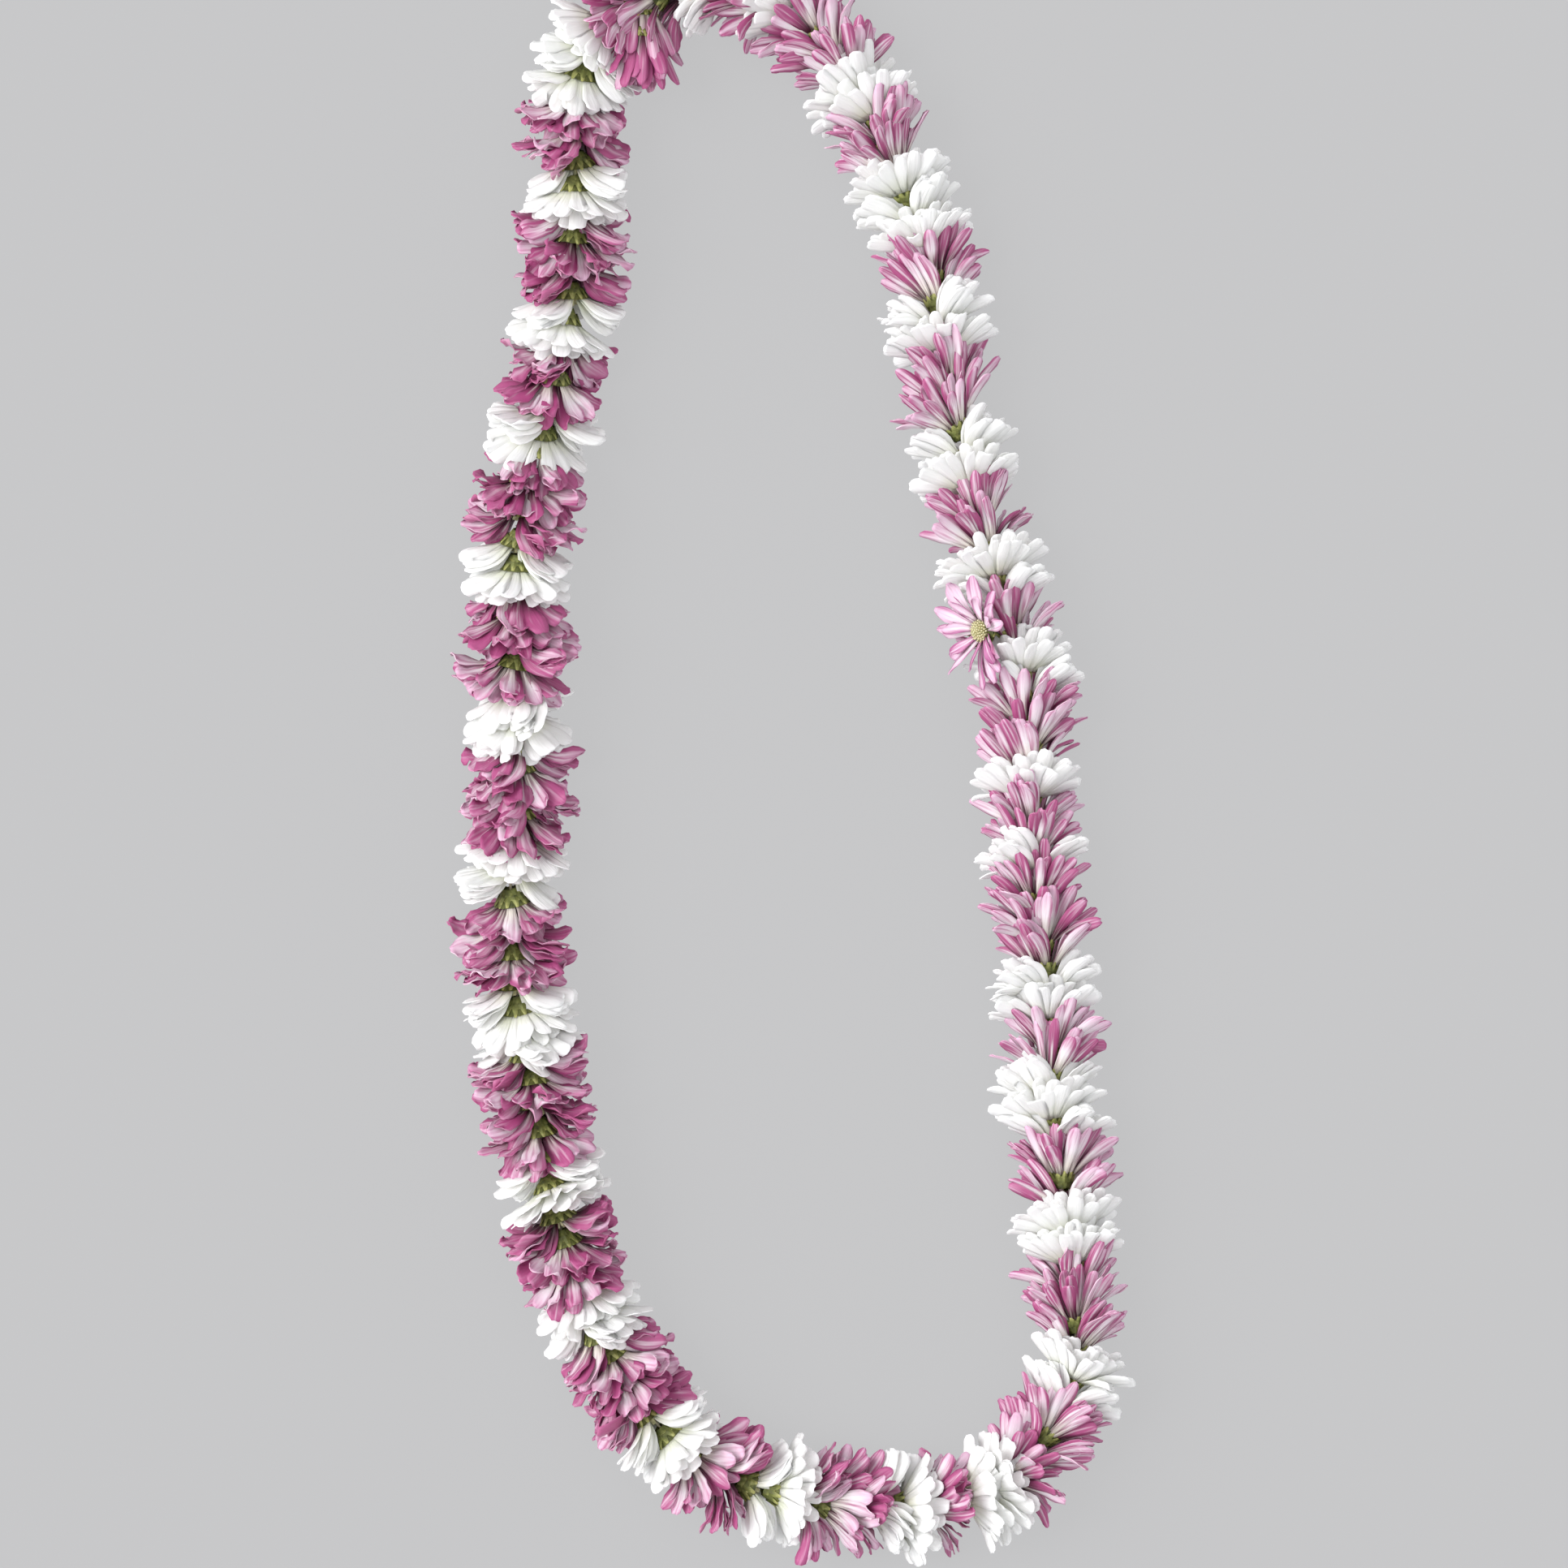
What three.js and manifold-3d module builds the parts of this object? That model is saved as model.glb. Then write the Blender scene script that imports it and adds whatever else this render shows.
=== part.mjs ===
// A fresh flower lei, lying on a table: daisy chrysanthemum heads threaded on one closed string,
// a few purple heads and then a few white ones, all round the loop. Millimetres, +Z up, table at z = 0,
// and the middle of the lei's outline at x = y = 0. Every head faces the way the string runs,
// anticlockwise seen from above, so that each calyx sits in the face of the head before it.
import * as THREE from "three";
import { mergeVertices } from "three/addons/utils/BufferGeometryUtils.js";
import Module from "manifold-3d";

const wasm = await Module();
wasm.setup();

// Route of the string, x and y. It starts at the top, where the knot is, and runs down the left side.
const ROUTE = [
  [-29, 246], [-49, 242], [-63, 230], [-70, 211], [-70, 185], [-71, 159], [-75, 133], [-81, 105],
  [-87, 75], [-89, 43], [-89, -19], [-91, -48], [-89, -76], [-84, -105], [-80, -133], [-72, -162],
  [-61, -189], [-46, -213], [-25, -230], [-1, -238], [25, -242], [50, -240], [70, -231], [84, -213],
  [90, -191], [90, -165], [86, -139], [82, -113], [82, -87], [76, -32], [75, -3], [74, 17],
  [68, 43], [61, 69], [49, 123], [45, 151], [36, 177], [27, 202], [12, 224], [-6, 240],
];
// Length of string under each purple bunch and under the white one after it, along the route.
const BUNCHES = [
  [29, 27], [20, 15], [27, 17], [21, 14], [29, 16], [31, 18], [30, 20],
  [27, 23], [33, 20], [24, 16], [30, 19], [21, 17], [23, 18], [12, 16],
  [27, 20], [27, 18], [21, 22], [17, 18], [30, 6], [18, 9], [24, 14],
  [14, 21], [19, 21], [23, 18], [16, 29], [16, 16], [27, 8], [17, 8],
];
const HEAD_PITCH = 8.4; // string that one threaded head takes up, before it is evened out in its bunch
const STRING_HEIGHT = 14.2; // of the string's middle above the table
const STRING_RADIUS = 0.5;
const STRING_SIDES = 5;
const STRING_STEPS = 140;
const HOLE_RADIUS = 1.4; // the needle's hole through each head
const STEM_RADIUS = 3.2; // of the calyx at its cut stem
const CUP_RADIUS = 7.8; // where the petals leave the cup that their feet make round the calyx
const PETAL_ROOT = 2; // thickness of a petal where it leaves the cup
const FACE_RISE = 0.3; // how far the middle of a head's face stands in front of its rim
const BUNCH_GAP = 0.4; // between the face of one bunch and the stem end of the next
const KNOT_GAP = 4.4; // bare string left round the knot
const KNOT_RADIUS = 1.7;
const TAIL = { from: [1, 0], to: [10, 4.6], radius: 0.5, sides: 5, turns: [0.16, 0.36] };

// Petals of a head stand in two layers, by turns: a long one laid open and a short one swept forward.
// Where the string runs up the page the heads are more closed and their petals narrower. Sweep is in
// degrees forward of square to the string, and fill is the share of its room that a petal takes up.
const LAYERS = [
  { length: 9.7, sweep: 12, fill: 0.95 },
  { length: 9, sweep: 38, fill: 0.88 },
];
const KINDS = {
  purple: { petals: 10, colour: "#a8578f" },
  white: { petals: 8, colour: "#f4f4ee" },
};
const CLOSING = 8; // degrees that petals are swept forward more, or less, by the way the string runs
const NARROWING = 0.18; // share of that room given up where the string runs up the page
const SHOULDER_AT = 0.62; // share of a petal's length where it is widest
const CURL = 0.7; // how far a petal's two sides curl forward
const TWIST = 1.2; // how far one side may stand in front of the other
const LENGTH_SPREAD = 0.07; // share of a petal's length
const SWEEP_SPREAD = 3; // degrees
const TURN_SPREAD = 0.26; // radians that a head may be turned on the string

// Petals under the string are pressed flatter by the lei's weight, and their lowest tips lie flat.
const PRESS_BELOW = 7;
const PRESSED_SHARE = 0.85;

const SEED = 20;

function seeded(seed) {
  let state = seed;
  return () => {
    state = (state * 16807) % 2147483647;
    return state / 2147483647;
  };
}
const random = seeded(SEED);
const spread = (amount) => amount * (2 * random() - 1);

const route = new THREE.CatmullRomCurve3(
  ROUTE.map(([x, y]) => new THREE.Vector3(x, y, 0)),
  true,
  "catmullrom",
  0.5,
);
route.arcLengthDivisions = 4000;
const routeLength = route.getLength();

// A length along the string as a share of its whole length.
const shareAt = (along) => (((along / routeLength) % 1) + 1) % 1;

// A point given by its place along the string, and sideways and up from it, as a point over the table.
function place(along, side, up) {
  const u = shareAt(along);
  const middle = route.getPointAt(u);
  const ahead = route.getTangentAt(u);
  let height = STRING_HEIGHT + up;
  if (height < PRESS_BELOW) height = PRESS_BELOW - (PRESS_BELOW - height) * PRESSED_SHARE;
  return new THREE.Vector3(middle.x - ahead.y * side, middle.y + ahead.x * side, height);
}

// A mesh made corner by corner, each corner placed along the string.
class Skin {
  constructor() {
    this.corners = [];
    this.faces = [];
  }
  corner(along, radius, angle, across = 0) {
    const side = radius * Math.cos(angle) - across * Math.sin(angle);
    const up = radius * Math.sin(angle) + across * Math.cos(angle);
    this.corners.push(...place(along, side, up).toArray());
    return this.corners.length / 3 - 1;
  }
  ring(count, along, radius, turn) {
    const ids = [];
    for (let i = 0; i < count; i++) ids.push(this.corner(along, radius, turn + (2 * Math.PI * i) / count));
    return ids;
  }
  face(...ids) {
    this.faces.push(...ids);
  }
  // Walls from one ring on to the next, which has as many corners, or half or twice as many.
  join(first, next) {
    const [n, m] = [first.length, next.length];
    for (let i = 0; i < n; i++) {
      const a = first[i];
      const b = first[(i + 1) % n];
      if (n === m) {
        this.face(a, b, next[i]);
        this.face(b, next[(i + 1) % n], next[i]);
      } else if (m === 2 * n) {
        const [p, q, r] = [next[2 * i], next[2 * i + 1], next[(2 * i + 2) % m]];
        this.face(a, q, p);
        this.face(a, b, q);
        this.face(b, r, q);
      } else if (i % 2 === 0) {
        const c = first[(i + 2) % n];
        const [p, q] = [next[i / 2], next[(i / 2 + 1) % m]];
        this.face(a, b, p);
        this.face(b, q, p);
        this.face(b, c, q);
      }
    }
  }
  geometry() {
    const geometry = new THREE.BufferGeometry();
    geometry.setAttribute("position", new THREE.Float32BufferAttribute(this.corners, 3));
    geometry.setIndex(this.faces);
    return geometry;
  }
}

// One petal between two corners of the back rim and the two in front of them.
function addPetal(skin, kind, index, [backA, backB, frontB, frontA], along, turn) {
  const layer = LAYERS[index % LAYERS.length];
  const climb = route.getTangentAt(shareAt(along)).y;
  const sweep = THREE.MathUtils.degToRad(layer.sweep + CLOSING * climb + spread(SWEEP_SPREAD));
  const length = layer.length * (1 + spread(LENGTH_SPREAD));
  const twist = spread(TWIST);
  const angle = turn + (2 * Math.PI * (index + 0.5)) / kind.petals;
  const radiusAt = (share) => CUP_RADIUS + share * length * Math.cos(sweep);
  const at = (share, across, lift) =>
    skin.corner(
      along + PETAL_ROOT / 2 + share * length * Math.sin(sweep) + lift,
      radiusAt(share),
      angle,
      across,
    );
  // A petal keeps within its own share of the round, so that it can't run into the next one.
  const fill = layer.fill - (NARROWING * (1 + climb)) / 2;
  const halfWidth = fill * radiusAt(SHOULDER_AT) * Math.tan(Math.PI / kind.petals);
  const left = at(SHOULDER_AT, -halfWidth, CURL + twist);
  const right = at(SHOULDER_AT, halfWidth, CURL - twist);
  const tip = at(1, 0, 0);
  skin.face(backA, left, frontA);
  skin.face(backB, frontB, right);
  skin.face(frontA, left, tip);
  skin.face(frontA, tip, frontB);
  skin.face(frontB, tip, right);
  skin.face(backA, tip, left);
  skin.face(backA, backB, tip);
  skin.face(backB, right, tip);
}

// A bunch of one colour: heads in a row, each a calyx, a rim of petals and a face, with the needle's hole.
function bunchGeometry(kind, start, end) {
  const heads = Math.max(1, Math.round((end - start) / HEAD_PITCH));
  const pitch = (end - start) / heads;
  const skin = new Skin();
  const sides = kind.petals / 2;
  let hole = skin.ring(sides, start, HOLE_RADIUS, 0);
  let stem = skin.ring(sides, start, STEM_RADIUS, 0);
  skin.join(hole, stem);
  for (let head = 0; head < heads; head++) {
    const faceAt = start + (head + 1) * pitch;
    const rimAt = faceAt - FACE_RISE - PETAL_ROOT;
    const turn = spread(TURN_SPREAD);
    const back = skin.ring(kind.petals, rimAt, CUP_RADIUS, turn);
    const front = skin.ring(kind.petals, rimAt + PETAL_ROOT, CUP_RADIUS, turn);
    skin.join(stem, back);
    for (let i = 0; i < kind.petals; i++) {
      const j = (i + 1) % kind.petals;
      addPetal(skin, kind, i, [back[i], back[j], front[j], front[i]], rimAt, turn);
    }
    const nextHole = skin.ring(sides, faceAt, HOLE_RADIUS, 0);
    skin.join(nextHole, hole);
    hole = nextHole;
    stem = head < heads - 1 ? skin.ring(sides, faceAt, STEM_RADIUS, 0) : hole;
    skin.join(front, stem);
  }
  return skin.geometry();
}

function solidOf(geometry) {
  const bare = geometry.clone();
  bare.deleteAttribute("normal");
  bare.deleteAttribute("uv");
  const merged = mergeVertices(bare, 1e-3);
  return new wasm.Manifold(
    new wasm.Mesh({
      numProp: 3,
      vertProperties: merged.attributes.position.array,
      triVerts: new Uint32Array(merged.index.array),
    }),
  );
}

function geometryOf(solid) {
  const mesh = solid.getMesh();
  const geometry = new THREE.BufferGeometry();
  geometry.setAttribute("position", new THREE.BufferAttribute(mesh.vertProperties, 3));
  geometry.setIndex(new THREE.BufferAttribute(mesh.triVerts, 1));
  return geometry;
}

// Everything under the table's top is cut away, which leaves the lowest petal tips lying flat.
const TABLE_SIZE = 800;
const TABLE_DEPTH = 20;
const table = solidOf(
  new THREE.BoxGeometry(TABLE_SIZE, TABLE_SIZE, TABLE_DEPTH).translate(0, 0, -TABLE_DEPTH / 2),
);

function addMesh(name, geometry, colour, roughness) {
  const material = new THREE.MeshStandardMaterial({ color: colour, roughness, metalness: 0 });
  material.flatShading = true;
  const mesh = new THREE.Mesh(geometry, material);
  mesh.name = name;
  lei.add(mesh);
}

// The string: one closed loop, tied in a knot with two short tails that lean out between two heads.
function stringGeometry() {
  const loop = new THREE.CatmullRomCurve3(
    Array.from({ length: STRING_STEPS }, (_, i) => place((i * routeLength) / STRING_STEPS, 0, 0)),
    true,
  );
  let solid = solidOf(new THREE.TubeGeometry(loop, STRING_STEPS, STRING_RADIUS, STRING_SIDES, true));
  const knot = new THREE.IcosahedronGeometry(KNOT_RADIUS, 1);
  knot.translate(...place(0, 0, 0).toArray());
  solid = solid.add(solidOf(knot));
  for (const turn of TAIL.turns) {
    const angle = 2 * Math.PI * turn;
    const [root, tip] = [TAIL.from, TAIL.to].map(([radius, along]) =>
      place(along, radius * Math.cos(angle), radius * Math.sin(angle)),
    );
    const tail = new THREE.CylinderGeometry(TAIL.radius, TAIL.radius, root.distanceTo(tip), TAIL.sides);
    const lean = new THREE.Quaternion().setFromUnitVectors(
      new THREE.Vector3(0, 1, 0),
      tip.clone().sub(root).normalize(),
    );
    tail.applyQuaternion(lean).translate(...root.add(tip).multiplyScalar(0.5).toArray());
    solid = solid.add(solidOf(tail));
  }
  return geometryOf(solid);
}

const lei = new THREE.Group();
lei.name = "flower_lei";
addMesh("string", stringGeometry(), "#d9d2bf", 0.8);

const bunchedLength = BUNCHES.flat().reduce((sum, length) => sum + length, 0);
const stretch = (routeLength - KNOT_GAP + BUNCH_GAP) / bunchedLength;
let along = KNOT_GAP / 2;
BUNCHES.forEach((lengths, number) => {
  Object.entries(KINDS).forEach(([name, kind], side) => {
    const end = along + lengths[side] * stretch;
    const geometry = bunchGeometry(kind, along, end - BUNCH_GAP);
    const bunch = solidOf(geometry).subtract(table);
    const label = String(number + 1).padStart(2, "0");
    addMesh(`${name}_bunch_${label}`, geometryOf(bunch), kind.colour, 0.7);
    along = end;
  });
});

// The middle of the outline goes to x = y = 0.
const middle = new THREE.Box3().setFromObject(lei, true).getCenter(new THREE.Vector3());
lei.position.set(-middle.x, -middle.y, 0);

export default lei;
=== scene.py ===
# %% [markdown]
# A fresh flower lei: purple and white daisy chrysanthemum heads, threaded through their centres on
# one closed string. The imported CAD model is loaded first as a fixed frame. It says where every bunch
# lies, and each bunch is then dressed with thin petals that keep to the same rope of heads.

import math
import random

import bmesh
import bpy
from mathutils import Matrix, Vector


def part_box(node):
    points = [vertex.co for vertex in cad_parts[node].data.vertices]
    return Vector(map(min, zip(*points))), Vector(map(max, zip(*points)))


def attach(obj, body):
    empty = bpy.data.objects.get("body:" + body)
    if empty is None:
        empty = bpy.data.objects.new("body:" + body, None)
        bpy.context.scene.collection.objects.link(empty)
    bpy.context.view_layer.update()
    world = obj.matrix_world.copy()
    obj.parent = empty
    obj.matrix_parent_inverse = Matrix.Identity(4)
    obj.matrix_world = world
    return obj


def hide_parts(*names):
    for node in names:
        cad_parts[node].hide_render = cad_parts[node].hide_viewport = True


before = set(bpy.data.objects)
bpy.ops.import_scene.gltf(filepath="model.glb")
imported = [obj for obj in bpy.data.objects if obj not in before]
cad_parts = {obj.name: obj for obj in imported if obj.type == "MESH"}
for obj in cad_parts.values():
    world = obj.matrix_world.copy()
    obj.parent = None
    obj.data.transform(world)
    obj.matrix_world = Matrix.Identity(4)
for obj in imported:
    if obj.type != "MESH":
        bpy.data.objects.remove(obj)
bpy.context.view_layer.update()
MM = 0.001
DEG = math.pi / 180
SEED = 7
chance = random.Random(SEED)

# %% [markdown]
# The camera looks straight down on the lei from well above it, as the photograph shows it, with the
# top of the loop past the picture's edge. A long lens keeps the heads at the sides from leaning out.

# %% Camera
PICTURE_WIDTH = 502.3 * MM  # width of the lei's plane that the picture takes in
PICTURE_MIDDLE = Vector((-1.8, -11.7, 0)) * MM
CAMERA_HEIGHT = 2.2
HEADS_MIDDLE = 17 * MM  # height that the framing is measured at

camera_data = bpy.data.cameras.new("camera")
camera_data.sensor_width = 36
camera_data.lens = camera_data.sensor_width * (CAMERA_HEIGHT - HEADS_MIDDLE) / PICTURE_WIDTH
camera_data.clip_end = 20
camera = bpy.data.objects.new("camera", camera_data)
camera.location = PICTURE_MIDDLE + Vector((0, 0, CAMERA_HEIGHT))
bpy.context.scene.collection.objects.link(camera)
bpy.context.scene.camera = camera
print("lens", round(camera_data.lens), "mm")

# %% [markdown]
# The string's route is the same list of points as in the CAD model, and the curve through them is
# the same kind, a closed Catmull-Rom spline. It is walked in small steps so that a place on it can be
# asked for by its length along the string.

# %% Route of the string
ROUTE = [
    (-29, 246), (-49, 242), (-63, 230), (-70, 211), (-70, 185), (-71, 159), (-75, 133), (-81, 105),
    (-87, 75), (-89, 43), (-89, -19), (-91, -48), (-89, -76), (-84, -105), (-80, -133), (-72, -162),
    (-61, -189), (-46, -213), (-25, -230), (-1, -238), (25, -242), (50, -240), (70, -231), (84, -213),
    (90, -191), (90, -165), (86, -139), (82, -113), (82, -87), (76, -32), (75, -3), (74, 17),
    (68, 43), (61, 69), (49, 123), (45, 151), (36, 177), (27, 202), (12, 224), (-6, 240),
]
STEPS_A_SPAN = 60
STRING_RADIUS = 0.5 * MM
STRING_HEIGHT = 14.2 * MM


def spline_point(span, t):
    """A point on the closed spline, in millimetres, t of the way along one span between two points."""
    p = [Vector(ROUTE[(span + k) % len(ROUTE)]) for k in (-1, 0, 1, 2)]
    return 0.5 * (
        2 * p[1]
        + (p[2] - p[0]) * t
        + (2 * p[0] - 5 * p[1] + 4 * p[2] - p[3]) * t**2
        + (3 * p[1] - 3 * p[2] + p[3] - p[0]) * t**3
    )


walk = [spline_point(i // STEPS_A_SPAN, i % STEPS_A_SPAN / STEPS_A_SPAN)
        for i in range(len(ROUTE) * STEPS_A_SPAN + 1)]
walked = [0.0]
for before, after in zip(walk, walk[1:]):
    walked.append(walked[-1] + (after - before).length)
route_length = walked[-1]

string_low, string_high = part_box("string")
route_shift = Vector((
    (string_low[0] + string_high[0]) / 2 / MM - (min(p.x for p in walk) + max(p.x for p in walk)) / 2,
    string_low[1] / MM + STRING_RADIUS / MM - min(p.y for p in walk),
))
print("string", round(route_length), "mm round, shift", [round(value, 2) for value in route_shift])


def on_route(along):
    """Where the string is at a length along it, in metres, and the way that it runs there."""
    wanted = along / MM % route_length
    low, high = 0, len(walk) - 1
    while high - low > 1:
        middle = (low + high) // 2
        low, high = (middle, high) if walked[middle] <= wanted else (low, middle)
    ahead = walk[high] - walk[low]
    share = (wanted - walked[low]) / (walked[high] - walked[low])
    place = (walk[low] + ahead * share + route_shift) * MM
    return Vector((place.x, place.y, STRING_HEIGHT)), Vector((ahead.x, ahead.y, 0)).normalized()

# %% [markdown]
# The lei is strung in bunches: some purple heads, then some white ones, and so on round the loop.
# Each bunch's length of string comes from the photograph, and a head takes up about 8.4 mm of it.
# A head is a frame of its own: its place on the string and the way it faces. Its face nods towards
# the table, which shows more of its back from above, and it has a small tilt of its own besides,
# because real heads are never threaded quite square.

# %% Bunches and heads
BUNCHES = [
    (29, 27), (20, 15), (27, 17), (21, 14), (29, 16), (31, 18), (30, 20),
    (27, 23), (33, 20), (24, 16), (30, 19), (21, 17), (23, 18), (12, 16),
    (27, 20), (27, 18), (21, 22), (17, 18), (30, 6), (18, 9), (24, 14),
    (14, 21), (19, 21), (23, 18), (16, 29), (16, 16), (27, 8), (17, 8),
]
HEAD_PITCH = 8.4 * MM
KNOT_GAP = 4.4 * MM
BUNCH_GAP = 0.4 * MM
NOD = 13 * DEG
TILT = 8 * DEG
MOST_TILT = 18 * DEG
PARTED_SHARE = (0.8, 0.5)  # chance that a head's petals part at the top, if the last head's don't
PARTING_OFF_TOP = 0.5  # radians, how far a parting usually is from the top of its head


def mixed(pair, share):
    """Between the two of a pair, the open form's value first and the closed one's second."""
    return pair[0] + (pair[1] - pair[0]) * share


def head_frame(along, tilt, tilt_way):
    """The matrix of a head: its own Z is the way it faces, X lies to the string's left and Y is up."""
    place, ahead = on_route(along)
    left = Vector((-ahead.y, ahead.x, 0))
    upright = Matrix((left, Vector((0, 0, 1)), ahead)).transposed()
    nod = Matrix.Rotation(NOD, 3, "X")
    lean = Matrix.Rotation(tilt, 3, Vector((math.cos(tilt_way), math.sin(tilt_way), 0)))
    return Matrix.Translation(place) @ (upright @ nod @ lean).to_4x4()


def strung_heads(start, end, kind):
    """The heads of one bunch, spread evenly over its length of string."""
    count = max(1, math.floor((end - start) / HEAD_PITCH + 0.5))
    heads = []
    parted = False
    for k in range(count):
        along = start + k * (end - start) / count
        place, ahead = on_route(along)
        tilt = min(abs(chance.gauss(0, TILT)), MOST_TILT)
        closed = (ahead.y + 1) / 2
        parted = not parted and chance.random() < mixed(PARTED_SHARE, closed)
        heads.append({
            "matrix": head_frame(along, tilt, chance.uniform(0, math.tau)),
            "kind": kind, "place": place, "closed": closed, "turned": False,
            "shift": chance.gauss(0, 1), "shade": chance.random(), "spiral": chance.choice((-1, 1)),
            "parting": chance.gauss(math.pi / 2, PARTING_OFF_TOP), "parted": parted,
        })
    return heads


stretch = (route_length * MM - KNOT_GAP + BUNCH_GAP) / (sum(p + w for p, w in BUNCHES) * MM)
bunches = []
along = KNOT_GAP / 2
for number, lengths in enumerate(BUNCHES, 1):
    for kind, length in zip(("purple", "white"), lengths):
        used = length * MM * stretch
        bunches.append({
            "kind": kind, "node": f"{kind}_bunch_{number:02d}",
            "heads": strung_heads(along, along + used - BUNCH_GAP, kind),
        })
        along += used
print(len(bunches), "bunches, stretched by", round(stretch, 3), "to close the loop")

# %% [markdown]
# Three purple heads more are out of the row, so their frames are given one by one. One has turned aside
# and shows its open face. Two hang on the inner side of the bend at the top left. Each is a copy of
# a head on the string with a few values of its own, which says at a glance what is different.

# %% Heads out of the row
DISC_AT = 4.8 * MM  # height of the disc's rim in the head's own frame
TURNED_BUNCH = "purple_bunch_22"
TURNED_FORM = {"closed": 0.3, "turned": True, "parted": False}
TURNED_FACE = Vector((60.8, 37.3, 19.0)) * MM  # where the middle of its face is
TURNED_WAY = Vector((-0.74, -0.12, 0.66)).normalized()
HANGING_BUNCH = "purple_bunch_01"
# A shade of -2 darkens their colour well below the rest, as painted shade for the shadow on the bend's inner
# side.
HANGING_FORM = {"closed": 0.9, "shift": 6, "shade": -2, "parted": False}  # slim, tightly closed and dark
HANGING_PUSHES = (Vector((1, -1, -1)) * MM, Vector((1, -8, 1)) * MM)  # from their neighbour on the string

by_node = {bunch["node"]: bunch for bunch in bunches}
face_turn = Vector((0, 0, 1)).rotation_difference(TURNED_WAY).to_matrix().to_4x4()
turned = dict(by_node[TURNED_BUNCH]["heads"][0], **TURNED_FORM)
turned["matrix"] = Matrix.Translation(TURNED_FACE) @ face_turn @ Matrix.Translation((0, 0, -DISC_AT))
by_node[TURNED_BUNCH]["heads"].append(turned)
facing_down_page = Matrix(((1, 0, 0), (0, 0, -1), (0, 1, 0))).to_4x4()
neighbour = by_node[HANGING_BUNCH]["heads"][-1]
for push in HANGING_PUSHES:
    hanging = dict(neighbour, **HANGING_FORM)
    hanging["matrix"] = Matrix.Translation(neighbour["place"] + push) @ facing_down_page
    by_node[HANGING_BUNCH]["heads"].append(hanging)
all_heads = [head for bunch in bunches for head in bunch["heads"]]
print(len(all_heads), "heads, the turned one near", [round(value / MM) for value in turned["place"]])

# %% [markdown]
# A ray petal starts as a flat grid. Every point of the grid has a place across the petal, from -1 to
# 1, and a share of its length, from 0 to 1, and one function bends the grid into a petal from those
# two: narrow at its foot and broad near its round tip, folded along the middle, waved at its edges,
# twisted a little, and swept forward on a curve, because a petal of a threaded head leaves its calyx
# steeply and then opens. A grid is used rather than a sculpted model because the lei has more than
# five thousand petals, all different, and a few dozen faces each are all that they can have.

# %% One petal
CELLS_ACROSS = 4
CELLS_ALONG = 7
ROWS_TO_TIP = 1.25  # above 1, the grid's rows lie closer together towards the tip
WIDTH_FALL = 2.2  # how late the petal narrows beyond its widest place
FOLD_CURVE = 1.4  # above 1, the fold along the middle is round and not a crease
WAVE_RISE = 1.5  # the margins' wave grows with this power of the length
MARGIN_LAG = 1.9  # radians between the waves of the two margins
ROLL_RISE = 2.5  # the roll is complete at one part in this many of the length
ROUND_TIP = 0.1  # share of the length that the tip's corners are drawn back
PRESS_BELOW = 7 * MM
PRESSED_SHARE = 0.8
LOWEST = 0.4 * MM
CEILING = 30.0 * MM
CEILING_SHARE = 0.4


def half_width(share, shape):
    """Half the petal's width at a share of its length, for a petal whose widest half is 1."""
    if share < shape["widest"]:
        rise = share / shape["widest"]
        return shape["foot"] + (1 - shape["foot"]) * rise * rise * (3 - 2 * rise)
    fall = (share - shape["widest"]) / (1 - shape["widest"])
    return 1 - (1 - shape["tip_width"]) * fall**WIDTH_FALL


def settle(point):
    """Presses what lies near the table flatter, and keeps the top of the rope low, as handling does."""
    if point.z < PRESS_BELOW:
        point.z = max(PRESS_BELOW - (PRESS_BELOW - point.z) * PRESSED_SHARE, LOWEST)
    if point.z > CEILING:
        point.z = CEILING + (point.z - CEILING) * CEILING_SHARE
    return point


def midrib(outward, shape):
    """For each row of the grid: its share of the length, its place and the way the petal's face looks."""
    forward = Vector((0, 0, 1))
    spot = outward * shape["root_radius"] + forward * shape["root_height"]
    rows = []
    last = 0.0
    for row in range(CELLS_ALONG + 1):
        share = 1 - (1 - row / CELLS_ALONG) ** ROWS_TO_TIP
        sweep = mixed((shape["sweep"], shape["tip_sweep"]), (last + share) / 2)
        step = (share - last) * shape["length"]
        spot = spot + (outward * math.cos(sweep) + forward * math.sin(sweep)) * step
        sweep = mixed((shape["sweep"], shape["tip_sweep"]), share)
        along = outward * math.cos(sweep) + forward * math.sin(sweep)
        rows.append((share, spot, along, forward * math.cos(sweep) - outward * math.sin(sweep)))
        last = share
    return rows


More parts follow.
